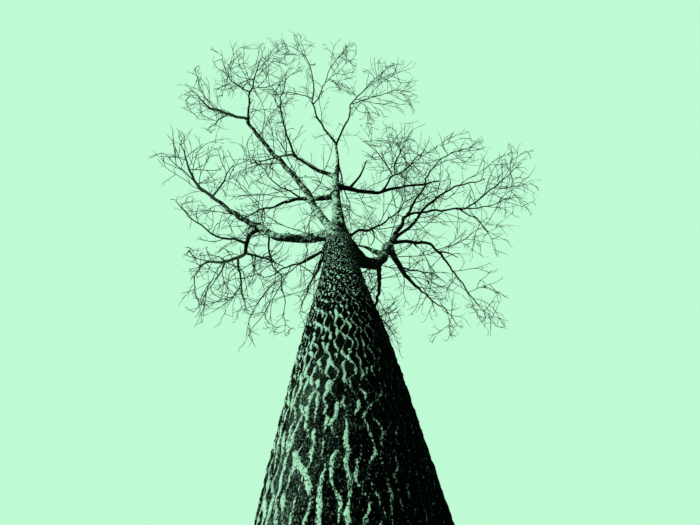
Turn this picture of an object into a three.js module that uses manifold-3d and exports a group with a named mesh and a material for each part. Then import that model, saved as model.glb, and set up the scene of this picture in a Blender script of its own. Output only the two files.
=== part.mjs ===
// Bare winter tree: a broadleaf of about 22 m with one straight trunk, a first fork near 11 m and an open
// crown that leans over to one side. Millimetres, +Z up, origin in the middle of the flat cut at the ground.

import * as THREE from 'three';
import Module from 'manifold-3d';

const wasm = await Module();
wasm.setup();

// Facets: sides of each kind of limb, and the distance between two rings along it
const trunkSides = 20;
const trunkRings = 34;
const trunkCrowding = 1.25;
const boughSides = 6;
const boughRing = 420;
const armSides = 4;
const armRing = 420;
const twigSides = 3;

// Joints: clear gap between two solids, the straight start of a limb that goes on from another's tip, the
// number of times a path's corners are rounded, the distance over which its direction is read, and how small
// the level part of an upright direction is
const gap = 0.3;
const straightOn = 80;
const cornerPasses = 2;
const readStep = 20;
const upright = 0.001;

// Trunk: each leg is its length, the way it heads in degrees from +X towards +Y, and how steeply it rises
const trunkLegs = [[10800, 265, 90], [3400, 265, 83], [1950, 268, 75], [1200, 283, 66], [1150, 265, 61]];

// Half the thickness of the trunk at some distances from the ground; it swells under the first fork
const trunkGirth = [
  [0, 392], [600, 366], [1300, 352], [3500, 344], [5300, 317], [7250, 256], [8500, 234], [9700, 242],
  [10700, 206], [11400, 164], [12300, 138], [13500, 115], [15300, 94], [16500, 82], [17200, 50], [18500, 36],
];

// Root flare: how far the ridges stand out at the ground, how fast they fade upwards, how many there are,
// and how unevenly they sit round the trunk
const flareWidth = 175;
const flareFade = 420;
const flareRidges = 5;
const flareUneven = 0.8;

// Collar where a limb leaves another: its extra thickness as a share, and how fast it fades in thicknesses
const collarShare = 0.28;
const collarFade = 0.9;

// Boughs: the limb each one grows on and how far along it (none: face to face with its tip), the thickness
// at foot and tip, and the legs, each with its length, heading and rise as on the trunk
const boughs = {
  dead_stub_left: {
    on: 'trunk', at: 10600, thick: [62, 14],
    legs: [[250, 150, 5], [850, 145, 45], [1050, 155, 40]],
  },
  bough_left: {
    on: 'trunk', at: 11050, thick: [178, 76],
    legs: [[200, 195, 40], [550, 163, 30], [500, 185, 20], [950, 195, 55], [1700, 205, 50]],
  },
  bough_left_fork: { on: 'bough_left', at: 2120, thick: [107, 74], legs: [[450, 140, 45], [550, 115, 45]] },
  bough_left_side: {
    on: 'bough_left_fork', at: 700, thick: [56, 42],
    legs: [[550, 195, 50], [900, 180, 50]],
  },
  bough_left_under: {
    on: 'bough_left', at: 1700, thick: [42, 28],
    legs: [[1000, 105, 55], [1050, 80, 60]],
  },
  bough_upper_left: {
    on: 'trunk', at: 11600, thick: [146, 80],
    legs: [[150, 190, 0], [950, 230, 60], [650, 240, 65], [2200, 225, 55], [2100, 230, 55]],
  },
  bough_upper_left_end: {
    on: 'bough_upper_left', at: 5850, thick: [60, 46],
    legs: [[250, 265, 35], [1350, 265, 57]],
  },
  bough_cross: {
    on: 'trunk', at: 15000, thick: [130, 58],
    legs: [[350, 165, 0], [1050, 180, 42], [650, 155, 40]],
  },
  bough_cross_up: { on: 'bough_cross', at: 1000, thick: [48, 34], legs: [[1200, 210, 50]] },
  bough_upper_right: {
    on: 'trunk', at: 15700, thick: [124, 36], legs: [[1200, 15, 30], [800, 350, 35], [1450, 355, 30]],
    spur: { at: 420, thick: [76, 30], legs: [[850, 315, 55], [700, 300, 55]] },
  },
  bough_top_right: { on: 'bough_upper_right', at: 1500, thick: [60, 50], legs: [[900, 310, 55]] },
  bough_top_left: { on: 'trunk', at: 16400, thick: [116, 58], legs: [[700, 200, 35], [1050, 215, 45]] },
  bough_top_left_end: {
    on: 'bough_top_left', at: 1650, thick: [66, 34],
    legs: [[250, 245, 40], [1200, 245, 52], [1600, 262, 50]],
  },
  leader_left: { on: 'trunk', thick: [70, 44], legs: [[1300, 235, 45], [850, 260, 45]] },
  leader_left_mid: { on: 'leader_left', at: 2050, thick: [40, 30], legs: [[200, 320, 40], [950, 290, 46]] },
  leader_right: { on: 'trunk', at: 18400, thick: [62, 40], legs: [[1350, 297, 46], [550, 285, 42]] },
  bough_right: {
    on: 'trunk', at: 9900, thick: [238, 112],
    legs: [[150, 25, 45], [1100, 45, 55], [1100, 5, 75], [1100, 320, 70]],
    spur: { at: 2350, thick: [120, 24], legs: [[330, 195, 55], [280, 215, 60], [360, 175, 55]] },
  },
  bough_right_up: { on: 'bough_right', thick: [104, 66], legs: [[600, 315, 62], [950, 325, 69]] },
  bough_right_rising: {
    on: 'bough_right_up', thick: [60, 36],
    legs: [[1150, 320, 51], [650, 295, 60], [500, 325, 60]],
  },
  bough_right_long: {
    on: 'bough_right_up', at: 1480, thick: [62, 44],
    legs: [[1150, 5, 45], [950, 0, 37]],
  },
  bough_right_down: { on: 'bough_right_long', at: 1950, thick: [38, 28], legs: [[900, 25, 40]] },
  bough_right_broken: {
    on: 'bough_right', at: 3350, thick: [72, 24],
    legs: [[300, 340, 40], [1000, 320, 37], [1250, 335, 45], [1150, 355, 38]],
  },
  bough_right_out: {
    on: 'bough_right', at: 3150, thick: [80, 40], legs: [[750, 5, 40], [1000, 30, 47], [1350, 55, 40]],
    spur: { at: 1850, thick: [44, 18], legs: [[350, 5, 40], [300, 30, 35]] },
  },
  bough_right_low: { on: 'bough_right', at: 2800, thick: [146, 38], legs: [[1350, 60, 50], [1400, 50, 50]] },
  bough_right_low_side: { on: 'bough_right_low', at: 900, thick: [44, 32], legs: [[900, 25, 50]] },
  bough_far_right: { on: 'bough_right', at: 1800, thick: [100, 52], legs: [[1750, 85, 60], [1200, 90, 60]] },
  bough_inner_right: {
    on: 'trunk', at: 11200, thick: [58, 32],
    legs: [[230, 15, 27], [430, 335, 64], [200, 30, 40], [280, 350, 65], [480, 345, 63], [550, 340, 58]],
    spur: { at: 1080, thick: [32, 16], legs: [[160, 60, 44], [120, 90, 0], [120, 120, 26]] },
  },
  bough_back: {
    on: 'trunk', at: 11800, thick: [138, 66],
    legs: [[300, 95, 15], [1000, 92, 50], [1500, 88, 62]],
  },
  bough_back_left: {
    on: 'trunk', at: 12500, thick: [108, 54],
    legs: [[300, 122, 20], [900, 114, 54], [1200, 106, 60]],
  },
  bough_back_right: {
    on: 'trunk', at: 13400, thick: [96, 50],
    legs: [[300, 68, 20], [900, 74, 54], [1200, 82, 60]],
  },
  bough_back_high: {
    on: 'trunk', at: 15500, thick: [78, 44],
    legs: [[250, 95, 25], [900, 90, 58], [900, 92, 62]],
  },
  bough_back_top: { on: 'trunk', at: 17350, thick: [56, 38], legs: [[200, 75, 30], [800, 78, 60]] },
};

// Masses of bare twigs: the bough whose tip each one grows from, the legs of its stem, and the arms that
// leave the stem, each at its distance along it
const masses = {
  twigs_left: { on: 'bough_left', stem: [[1600, 212, 50], [1700, 245, 50]], arms: [] },
  twigs_left_fork: {
    on: 'bough_left_fork', stem: [[400, 135, 50], [500, 160, 36], [850, 180, 45], [1050, 130, 40]],
    arms: [
      { at: 60, legs: [[650, 30, 50], [800, 45, 50]] },
      { at: 420, legs: [[1450, 100, 50], [1100, 100, 45]] },
    ],
  },
  twigs_left_side: { on: 'bough_left_side', stem: [[1300, 205, 50], [800, 220, 50]], arms: [] },
  twigs_left_under: { on: 'bough_left_under', stem: [[1600, 90, 55], [2000, 100, 45]], arms: [] },
  twigs_upper_left: { on: 'bough_upper_left', stem: [[1550, 200, 40], [1600, 225, 45]], arms: [] },
  twigs_upper_left_end: {
    on: 'bough_upper_left_end', stem: [[650, 275, 60], [1600, 280, 45]],
    arms: [{ at: 60, legs: [[750, 210, 35], [400, 220, 55], [1550, 250, 45]] }],
  },
  twigs_cross: {
    on: 'bough_cross', stem: [[550, 175, 45], [1400, 155, 45]],
    arms: [{ at: 500, legs: [[650, 115, 50], [500, 85, 55]] }],
  },
  twigs_cross_up: { on: 'bough_cross_up', stem: [[350, 210, 50], [1200, 225, 55]], arms: [] },
  twigs_top_right: {
    on: 'bough_top_right', stem: [[400, 350, 40], [650, 325, 55], [750, 310, 50], [850, 0, 45]],
    arms: [
      { at: 120, legs: [[550, 275, 60], [1100, 305, 55]] },
      { at: 40, legs: [[1200, 242, 57], [1000, 235, 56]] },
    ],
  },
  twigs_top_left: { on: 'bough_top_left', stem: [[1100, 175, 45], [1200, 172, 42]], arms: [] },
  twigs_top_left_end: {
    on: 'bough_top_left_end', stem: [[550, 290, 50], [550, 270, 45], [950, 322, 38]],
    arms: [{ at: 60, legs: [[1000, 232, 45], [700, 250, 42]] }],
  },
  twigs_leader_left: {
    on: 'leader_left', stem: [[950, 275, 45], [1500, 255, 40], [1250, 215, 35]],
    arms: [{ at: 300, legs: [[900, 200, 40], [700, 180, 40]] }],
  },
  twigs_leader_mid: {
    on: 'leader_left_mid', stem: [[1150, 290, 45], [1150, 310, 40]],
    arms: [{ at: 120, legs: [[700, 320, 45], [700, 310, 45]] }],
  },
  twigs_leader_right: {
    on: 'leader_right', stem: [[1150, 310, 40], [1250, 320, 42]],
    arms: [{ at: 100, legs: [[1400, 345, 27], [850, 325, 40]] }],
  },
  twigs_right_rising: {
    on: 'bough_right_rising', stem: [[650, 315, 45], [1000, 340, 45], [550, 0, 50]], arms: [],
  },
  twigs_right_long: {
    on: 'bough_right_long', stem: [[950, 340, 35], [1400, 332, 40], [950, 330, 45]],
    arms: [{ at: 120, legs: [[1050, 0, 30], [900, 345, 45]] }],
  },
  twigs_right_down: { on: 'bough_right_down', stem: [[750, 46, 42], [750, 54, 38]], arms: [] },
  twigs_right_out: { on: 'bough_right_out', stem: [[1400, 50, 40], [900, 55, 35]], arms: [] },
  twigs_right_low: { on: 'bough_right_low', stem: [[1700, 45, 45], [950, 55, 35]], arms: [] },
  twigs_right_low_side: { on: 'bough_right_low_side', stem: [[750, 25, 50], [850, 50, 50]], arms: [] },
  twigs_far_right: {
    on: 'bough_far_right', stem: [[1450, 90, 55], [1500, 95, 55]],
    arms: [{ at: 500, legs: [[900, 55, 50], [800, 62, 45]] }],
  },
  twigs_inner_right: { on: 'bough_inner_right', stem: [[1250, 328, 58], [450, 0, 45]], arms: [] },
  twigs_back: {
    on: 'bough_back', stem: [[1500, 85, 52], [1400, 96, 45]],
    arms: [{ at: 200, legs: [[900, 130, 48], [800, 120, 42]] }],
  },
  twigs_back_left: { on: 'bough_back_left', stem: [[1300, 118, 50], [1200, 110, 45]], arms: [] },
  twigs_back_right: { on: 'bough_back_right', stem: [[1200, 68, 50], [1200, 78, 45]], arms: [] },
  twigs_back_high: {
    on: 'bough_back_high', stem: [[1200, 100, 50], [1100, 112, 45]],
    arms: [{ at: 250, legs: [[800, 60, 50], [700, 70, 45]] }],
  },
  twigs_back_top: {
    on: 'bough_back_top', stem: [[1300, 75, 55], [1100, 88, 50]],
    arms: [{ at: 300, legs: [[800, 130, 50], [700, 140, 45]] }],
  },
};

// Twigs: thickness at every tip, and at the foot as a share of the limb they leave, or the least of it
const tipThick = 10;
const armShare = 0.8;
const twigShare = 0.6;
const twigLeast = 13;

// Twigs along an arm: the first one, the distance between two, its unevenness, how near the tip the last one
// may stand, and the turn round the arm from one to the next, in degrees, with its unevenness
const twigFirst = 260;
const twigEvery = 520;
const twigJitter = 150;
const twigLast = 60;
const twigTurn = 137.5;
const turnJitter = 50;

// A twig's angle to its arm, its length as a share of the arm that is left and a bit more, its longest, the
// straight steps it is made of, how much each step turns aside, and how much it turns up
const twigSpread = [36, 64];
const twigReach = [0.34, 0.62];
const twigLonger = 800;
const twigLongest = 1250;
const twigSteps = 3;
const twigWander = 0.36;
const twigLift = 0.12;

// Fork of a twig: its place and length as shares of the twig, its steps, and the shortest twig that has one
const forkAt = 0.42;
const forkShare = 0.55;
const forkSteps = 2;
const forkLeast = 620;

// Free space: twigs stay this far from a limb, and this much nearer to their own mass than to any other
const clearance = 14;
const spaceMargin = 45;

// First seed of the dice, and the step from one mass to the next
const firstSeed = 101;
const seedStep = 37;

const barkMaterial = new THREE.MeshStandardMaterial({ color: 0x4c5a4e, roughness: 0.95, metalness: 0 });
const boughMaterial = new THREE.MeshStandardMaterial({ color: 0x66756a, roughness: 0.9, metalness: 0 });
const twigMaterial = new THREE.MeshStandardMaterial({ color: 0x3d463f, roughness: 0.85, metalness: 0 });

// Seeded dice, so that every run grows the same tree
function dice(seed) {
  let state = seed;
  return () => {
    state = (state * 1664525 + 1013904223) % 4294967296;
    return state / 4294967296;
  };
}

function heading(turn, rise) {
  const flat = Math.cos(THREE.MathUtils.degToRad(rise));
  return new THREE.Vector3(
    flat * Math.cos(THREE.MathUtils.degToRad(turn)),
    flat * Math.sin(THREE.MathUtils.degToRad(turn)),
    Math.sin(THREE.MathUtils.degToRad(rise)),
  );
}

// Corner points from a start and legs
function walk(start, legs) {
  const points = [start.clone()];
  for (const [length, turn, rise] of legs) {
    points.push(points.at(-1).clone().addScaledVector(heading(turn, rise), length));
  }
  return points;
}

// Rounds the corners of a line and keeps its two ends
function roundCorners(points) {
  const rounded = [points[0]];
  for (let i = 0; i < points.length - 1; i += 1) {
    if (i > 0) rounded.push(points[i].clone().lerp(points[i + 1], 0.25));
    if (i < points.length - 2) rounded.push(points[i].clone().lerp(points[i + 1], 0.75));
  }
  rounded.push(points.at(-1));
  return rounded;
}

// A path is a line of points with the distance of each one from the start
function makePath(corners) {
  let points = corners;
  for (let i = 0; i < cornerPasses; i += 1) points = roundCorners(points);
  const reach = [0];
  for (let i = 1; i < points.length; i += 1) reach.push(reach[i - 1] + points[i].distanceTo(points[i - 1]));
  return { points, reach, length: reach.at(-1) };
}

function pointOn(path, distance) {
  let i = 1;
  while (i < path.points.length - 1 && path.reach[i] < distance) i += 1;
  const share = (distance - path.reach[i - 1]) / (path.reach[i] - path.reach[i - 1]);
  return path.points[i - 1].clone().lerp(path.points[i], share);
}

function directionOn(path, distance) {
  const from = Math.max(0, distance - readStep);
  const to = Math.min(path.length, distance + readStep);
  return pointOn(path, to).sub(pointOn(path, from)).normalize();
}

function toSolid(positions, triangles) {
  const vertProperties = new Float32Array(positions);
  const triVerts = new Uint32Array(triangles);
  return new wasm.Manifold(new wasm.Mesh({ numProp: 3, vertProperties, triVerts }));
}

// Closed tube round a limb's path; grow makes it larger all round, to cut a neighbour clear of it
function limbSolid(limb, grow) {
  const { path, rings, sides, radiusAt } = limb;
  const positions = [];
  const triangles = [];
  const widen = grow / Math.cos(Math.PI / sides);
  const across = new THREE.Vector3(0, 0, 1).cross(directionOn(path, 0));
  if (across.length() < upright) across.set(1, 0, 0);
  for (let i = 0; i <= rings; i += 1) {
    const distance = path.length * (i / rings) ** (limb.crowding ?? 1);
    const centre = pointOn(path, distance);
    const along = directionOn(path, distance);
    if (i === 0) centre.addScaledVector(along, -grow);
    if (i === rings) centre.addScaledVector(along, grow);
    across.addScaledVector(along, -across.dot(along)).normalize();
    const third = along.clone().cross(across);
    for (let j = 0; j < sides; j += 1) {
      const angle = (2 * Math.PI * j) / sides;
      const radius = radiusAt(distance, angle) + widen;
      const vertex = centre.clone().addScaledVector(across, radius * Math.cos(angle));
      vertex.addScaledVector(third, radius * Math.sin(angle));
      positions.push(vertex.x, vertex.y, vertex.z);
    }
  }
  for (let i = 0; i < rings; i += 1) {
    for (let j = 0; j < sides; j += 1) {
      const a = i * sides + j;
      const b = i * sides + ((j + 1) % sides);
      triangles.push(a, b, b + sides, a, b + sides, a + sides);
    }
  }
  const tip = rings * sides;
  if (limb.ridged) {
    const hub = positions.length / 3;
    const foot = pointOn(path, 0);
    const top = pointOn(path, path.length);
    positions.push(foot.x, foot.y, foot.z - grow, top.x, top.y, top.z + grow);
    for (let j = 0; j < sides; j += 1) {
      triangles.push(hub, (j + 1) % sides, j);
      triangles.push(hub + 1, tip + j, tip + ((j + 1) % sides));
    }
  } else {
    for (let j = 1; j < sides - 1; j += 1) {
      triangles.push(0, j + 1, j);
      triangles.push(tip, tip + j, tip + j + 1);
    }
  }
  return toSolid(positions, triangles);
}

// Trunk: thickness by distance, with ridges of the root flare near the ground
function girthAt(distance) {
  let i = 1;
  while (i < trunkGirth.length - 1 && trunkGirth[i][0] < distance) i += 1;
  const [fromAt, from] = trunkGirth[i - 1];
  const [toAt, to] = trunkGirth[i];
  return THREE.MathUtils.mapLinear(Math.min(distance, toAt), fromAt, toAt, from, to);
}

function trunkRadius(distance, angle) {
  const ridge = 0.5 + 0.5 * Math.cos(flareRidges * angle + flareUneven * Math.sin(angle));
  return girthAt(distance) + flareWidth * ridge * Math.exp(-distance / flareFade);
}

// Limb: a tapering tube, with a collar at its foot where it leaves the side of another limb
function taper(thick, length, collarFrom) {
  return (distance) => {
    const radius = THREE.MathUtils.lerp(thick[0], thick[1], Math.min(1, distance / length)) / 2;
    if (collarFrom === undefined) return radius;
    const outside = Math.max(0, distance - collarFrom);
    return radius * (1 + collarShare * Math.exp(-outside / (collarFade * thick[0])));
  };
}

const trunkPath = makePath(walk(new THREE.Vector3(), trunkLegs));
const limbs = {
  trunk: {
    path: trunkPath,
    sides: trunkSides,
    rings: trunkRings,
    crowding: trunkCrowding,
    ridged: true,
    radiusAt: trunkRadius,
  },
};

function growLimb(parent, at, thick, legs, sides, ring) {
  const tip = at === undefined;
  const start = pointOn(parent.path, tip ? parent.path.length : at);
  const onward = directionOn(parent.path, parent.path.length);
  if (tip) start.addScaledVector(onward, gap);
  const corners = walk(start, legs);
  if (tip) corners.splice(1, 0, start.clone().addScaledVector(onward, straightOn));
  const path = makePath(corners);
  const rings = Math.max(2, Math.round(path.length / ring));
  const collarFrom = tip ? undefined : parent.radiusAt(at, 0);
  return { path, sides, rings, radiusAt: taper(thick, path.length, collarFrom) };
}

// A cut can leave a loose scrap beside the limb: only the largest body stays
function largest(solid) {
  return solid.decompose().reduce((best, body) => (body.volume() > best.volume() ? body : best));
}

const parts = {};
parts.trunk = limbSolid(limbs.trunk, 0);

for (const [name, { on, at, thick, legs, spur }] of Object.entries(boughs)) {
  const limb = growLimb(limbs[on], at, thick, legs, boughSides, boughRing);
  let solid = limbSolid(limb, 0);
  if (spur) {
    limb.spur = growLimb(limb, spur.at, spur.thick, spur.legs, armSides, boughRing);
    solid = solid.add(limbSolid(limb.spur, 0));
  }
  const neighbours = [on, ...Object.keys(boughs).filter((other) => boughs[other].on === on && limbs[other])];
  for (const other of neighbours) {
    if (at === undefined && other === on) continue;
    solid = solid.subtract(limbSolid(limbs[other], gap));
  }
  limbs[name] = limb;
  parts[name] = largest(solid);
}

// Shortest distance between two straight pieces
function apart(a, b, c, d) {
  const u = b.clone().sub(a);
  const v = d.clone().sub(c);
  const w = a.clone().sub(c);
  const uu = u.dot(u);
  const uv = u.dot(v);
  const vv = v.dot(v);
  const uw = u.dot(w);
  const vw = v.dot(w);
  const wide = uu * vv - uv * uv;
  let s = wide > 0 ? THREE.MathUtils.clamp((uv * vw - vv * uw) / wide, 0, 1) : 0;
  const t = THREE.MathUtils.clamp((uv * s + vw) / vv, 0, 1);
  s = THREE.MathUtils.clamp((uv * t - uw) / uu, 0, 1);
  return a.clone().addScaledVector(u, s).distanceTo(c.clone().addScaledVector(v, t));
}

// Straight pieces of a limb with their thickness, for the tests of free space
function piecesOf(limb) {
  const pieces = [];
  for (let i = 0; i < limb.rings; i += 1) {
    const from = (limb.path.length * i) / limb.rings;
    const to = (limb.path.length * (i + 1)) / limb.rings;
    pieces.push({ a: pointOn(limb.path, from), b: pointOn(limb.path, to), radius: limb.radiusAt(from, 0) });
  }
  return pieces;
}

const limbPieces = [];
for (const limb of Object.values(limbs)) {
  limbPieces.push(...piecesOf(limb));
  if (limb.spur) limbPieces.push(...piecesOf(limb.spur));
}

// Stem and arms of every mass come first, because they divide the crown into the masses' own spaces
const crowns = {};
for (const [name, { on, stem, arms }] of Object.entries(masses)) {
  const bough = limbs[on];
  const thick = 2 * bough.radiusAt(bough.path.length, 0);
  const first = growLimb(bough, undefined, [thick, tipThick], stem, armSides, armRing);
  const all = [first];
  for (const { at, legs } of arms) {
    const armThick = 2 * armShare * first.radiusAt(at, 0);
    const start = pointOn(first.path, at);
    const path = makePath(walk(start, legs));
    const rings = Math.round(path.length / armRing);
    all.push({ path, sides: armSides, rings, radiusAt: taper([armThick, tipThick], path.length) });
  }
  crowns[name] = { arms: all, pieces: all.flatMap(piecesOf) };
}

function nearest(point, pieces) {
  let best = Infinity;
  for (const { a, b } of pieces) {
    const line = new THREE.Line3(a, b);
    best = Math.min(best, line.closestPointToPoint(point, true, new THREE.Vector3()).distanceTo(point));
  }
  return best;
}

// A twig has room if it stays nearer to its own mass than to any other and clear of every limb
function hasRoom(points, radius, name) {
  const strangers = Object.keys(crowns).filter((other) => other !== name);
  const others = strangers.flatMap((other) => crowns[other].pieces);
  for (let i = 1; i < points.length; i += 1) {
    const from = points[i - 1];
    const to = points[i];
    for (const point of [from.clone().lerp(to, 0.5), to]) {
      if (nearest(point, crowns[name].pieces) + spaceMargin > nearest(point, others)) return false;
    }
    for (const piece of [...limbPieces, ...others]) {
      if (apart(from, to, piece.a, piece.b) < piece.radius + radius + clearance) return false;
    }
  }
  return true;
}

// Wandering line of a twig that leaves a limb sideways and bends back upwards
function wander(start, along, roll, spread, length, steps, draw) {
  const side = new THREE.Vector3(0, 0, 1).cross(along).normalize();
  const top = along.clone().cross(side);
  const out = side.multiplyScalar(Math.cos(roll)).addScaledVector(top, Math.sin(roll));
  const way = along.clone().multiplyScalar(Math.cos(spread)).addScaledVector(out, Math.sin(spread));
  const points = [start.clone()];
  for (let i = 0; i < steps; i += 1) {
    const bend = new THREE.Vector3(draw() - 0.5, draw() - 0.5, draw() - 0.5);
    way.addScaledVector(bend, twigWander).normalize();
    points.push(points.at(-1).clone().addScaledVector(way, length / steps));
    way.z += twigLift;
    way.normalize();
  }
  return points;
}

function between([low, high], share) {
  return THREE.MathUtils.lerp(low, high, share);
}

function twigLimb(points, thick) {
  const reach = [0];
  for (let i = 1; i < points.length; i += 1) reach.push(reach[i - 1] + points[i].distanceTo(points[i - 1]));
  const path = { points, reach, length: reach.at(-1) };
  const rings = points.length - 1;
  return { path, sides: twigSides, rings, radiusAt: taper([thick, tipThick], path.length) };
}

// Twigs of one mass: they leave every arm in turn round it, and each carries one fork
function growTwigs(name, seed) {
  const draw = dice(seed);
  const twigs = [];
  for (const arm of crowns[name].arms) {
    const count = Math.floor((arm.path.length - twigFirst) / twigEvery) + 1;
    for (let i = 0; i < count; i += 1) {
      const at = Math.min(arm.path.length - twigLast, twigFirst + i * twigEvery + draw() * twigJitter);
      const thick = Math.max(twigLeast, 2 * twigShare * arm.radiusAt(at, 0));
      const roll = THREE.MathUtils.degToRad(i * twigTurn + turnJitter * draw());
      const spread = THREE.MathUtils.degToRad(between(twigSpread, draw()));
      const length = Math.min(twigLongest, between(twigReach, draw()) * (arm.path.length - at + twigLonger));
      const start = pointOn(arm.path, at);
      const onward = directionOn(arm.path, at);
      const points = wander(start, onward, roll, spread, length, twigSteps, draw);
      const forkRoll = 2 * Math.PI * draw();
      const forkSpread = THREE.MathUtils.degToRad(between(twigSpread, draw()));
      const twig = twigLimb(points, thick);
      const foot = pointOn(twig.path, forkAt * twig.path.length);
      const way = directionOn(twig.path, forkAt * twig.path.length);
      const fork = wander(foot, way, forkRoll, forkSpread, forkShare * length, forkSteps, draw);
      if (!hasRoom(points, thick / 2, name)) continue;
      twigs.push(twig);
      if (length > forkLeast && hasRoom(fork, twigLeast / 2, name)) twigs.push(twigLimb(fork, twigLeast));
    }
  }
  return twigs;
}

Object.keys(masses).forEach((name, index) => {
  const { on } = masses[name];
  const { arms } = crowns[name];
  let solid = limbSolid(arms[0], 0);
  for (const limb of [...arms.slice(1), ...growTwigs(name, firstSeed + seedStep * index)]) {
    solid = solid.add(limbSolid(limb, 0));
  }
  for (const other of Object.keys(boughs).filter((other) => boughs[other].on === on)) {
    solid = solid.subtract(limbSolid(limbs[other], gap));
  }
  parts[name] = largest(solid);
});

function toMesh(name, solid, material) {
  const { vertProperties, triVerts } = solid.getMesh();
  const geometry = new THREE.BufferGeometry();
  geometry.setAttribute('position', new THREE.BufferAttribute(vertProperties, 3));
  geometry.setIndex(new THREE.BufferAttribute(triVerts, 1));
  geometry.computeVertexNormals();
  const mesh = new THREE.Mesh(geometry, material);
  mesh.name = name;
  return mesh;
}

const group = new THREE.Group();
for (const [name, solid] of Object.entries(parts)) {
  let material = boughMaterial;
  if (name === 'trunk') material = barkMaterial;
  if (name in masses) material = twigMaterial;
  group.add(toMesh(name, solid, material));
}

export default group;
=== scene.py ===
# Bare winter tree: a broadleaf of about 22 m with furrowed bark up to its first fork, smoother boughs above
# and a crown of bare twigs that leans to one side. Metres, +Z up, origin in the flat cut at the ground.

from math import cos, pi, radians, sin
from types import SimpleNamespace
import bpy
import numpy as np
from mathutils import Matrix, Vector


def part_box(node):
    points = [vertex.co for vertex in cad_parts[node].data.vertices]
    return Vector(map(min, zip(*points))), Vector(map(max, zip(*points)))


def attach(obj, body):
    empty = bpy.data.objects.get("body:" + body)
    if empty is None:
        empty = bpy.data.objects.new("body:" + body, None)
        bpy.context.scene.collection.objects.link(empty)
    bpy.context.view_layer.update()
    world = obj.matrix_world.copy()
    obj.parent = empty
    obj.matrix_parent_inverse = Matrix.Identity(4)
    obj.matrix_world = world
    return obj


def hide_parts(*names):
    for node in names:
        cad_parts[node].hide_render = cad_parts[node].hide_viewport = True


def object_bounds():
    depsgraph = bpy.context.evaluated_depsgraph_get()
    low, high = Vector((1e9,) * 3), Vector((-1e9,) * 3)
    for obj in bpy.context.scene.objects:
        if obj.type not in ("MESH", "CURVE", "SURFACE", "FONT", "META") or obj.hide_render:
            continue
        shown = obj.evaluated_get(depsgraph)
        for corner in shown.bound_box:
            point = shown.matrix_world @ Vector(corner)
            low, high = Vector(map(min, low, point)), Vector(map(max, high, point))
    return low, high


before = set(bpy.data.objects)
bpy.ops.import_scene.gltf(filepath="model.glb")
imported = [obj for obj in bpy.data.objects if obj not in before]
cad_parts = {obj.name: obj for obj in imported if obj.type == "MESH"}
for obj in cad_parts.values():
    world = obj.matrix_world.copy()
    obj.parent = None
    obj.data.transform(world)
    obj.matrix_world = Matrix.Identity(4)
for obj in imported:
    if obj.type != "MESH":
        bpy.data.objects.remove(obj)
cad_low, cad_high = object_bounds()

# Camera
# It stands a step from the foot of the trunk, at eye height, and looks steeply up. The point where upright
# lines meet and the pixel where the trunk leaves the picture give its tilt.
PICTURE = (700, 525)
FOCAL_PIXELS = 560
UPRIGHT_PIXEL = (336.5, 168)
FOOT_PIXEL = (353.3, 524.5)
EYE = (0, -1.25, 1.5)


def ray_through(pixel):
    return Vector((pixel[0] - PICTURE[0] / 2, PICTURE[1] / 2 - pixel[1], -FOCAL_PIXELS)).normalized()


scene = bpy.context.scene
up = ray_through(UPRIGHT_PIXEL)
foot = ray_through(FOOT_PIXEL)
ahead = (foot - up * foot.dot(up)).normalized()
camera_data = bpy.data.cameras.new("camera")
camera_data.lens = FOCAL_PIXELS / PICTURE[0] * camera_data.sensor_width
camera = bpy.data.objects.new("camera", camera_data)
camera.matrix_world = Matrix.Translation(EYE) @ Matrix((ahead.cross(up), ahead, up)).to_4x4()
scene.collection.objects.link(camera)
scene.camera = camera

# Floor and light
# A plain pale floor at ground level, a pale mint surround like an overcast sky, and one large soft light from
# the upper left, which leaves the right side of the trunk in the dark.
FLOOR_HALF = 150
FLOOR_COLOUR = (0.5, 0.58, 0.52, 1)
SKY_COLOUR = (0.52, 0.96, 0.66, 1)
SKY_STRENGTH = 1
KEY_COLOUR = (0.8, 1, 0.86)
KEY_STRENGTH = 2.4
KEY_SOFTNESS = 50
KEY_WAY = (0.86, 0.3, -0.42)
FLOOR_ROUGHNESS = 0.9
join = np.concatenate


def feed(node, inputs):
    """Each input of a node is a value or the output that feeds it."""
    for socket, value in inputs.items():
        if isinstance(value, bpy.types.NodeSocket):
            node.id_data.links.new(value, node.inputs[socket])
        else:
            node.inputs[socket].default_value = value


def add_node(beside, kind, inputs, **settings):
    """A shader node with its settings, in the tree of another node or of a socket."""
    made = beside.id_data.nodes.new("ShaderNode" + kind)
    for name, value in settings.items():
        setattr(made, name, value)
    feed(made, inputs)
    return made


def new_material(name, roughness, gloss=0.5):
    """A material and the shader that its nodes feed."""
    material = bpy.data.materials.new(name)
    material.use_nodes = True
    shader = material.node_tree.nodes["Principled BSDF"]
    shader.inputs["Roughness"].default_value = roughness
    shader.inputs["Specular IOR Level"].default_value = gloss
    return material, shader


def add_mesh(name, points, faces, materials, kinds=(0,)):
    """An object from an array of points and arrays of faces; kinds gives each array of faces its material."""
    sizes = join([np.full(len(group), group.shape[1]) for group in faces])
    corners = join([group.ravel() for group in faces])
    mesh = bpy.data.meshes.new(name)
    mesh.vertices.add(len(points))
    mesh.vertices.foreach_set("co", np.asarray(points, np.float32).ravel())
    mesh.loops.add(len(corners))
    mesh.loops.foreach_set("vertex_index", corners.astype(np.int32))
    mesh.polygons.add(len(sizes))
    mesh.polygons.foreach_set("loop_start", (np.cumsum(sizes) - sizes).astype(np.int32))
    mesh.update(calc_edges=True)
    mesh.shade_smooth()
    for material in materials:
        mesh.materials.append(material)
    which = join([np.full(len(group), kind) for group, kind in zip(faces, kinds)])
    mesh.polygons.foreach_set("material_index", which.astype(np.int32))
    made = bpy.data.objects.new(name, mesh)
    scene.collection.objects.link(made)
    return made


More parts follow.
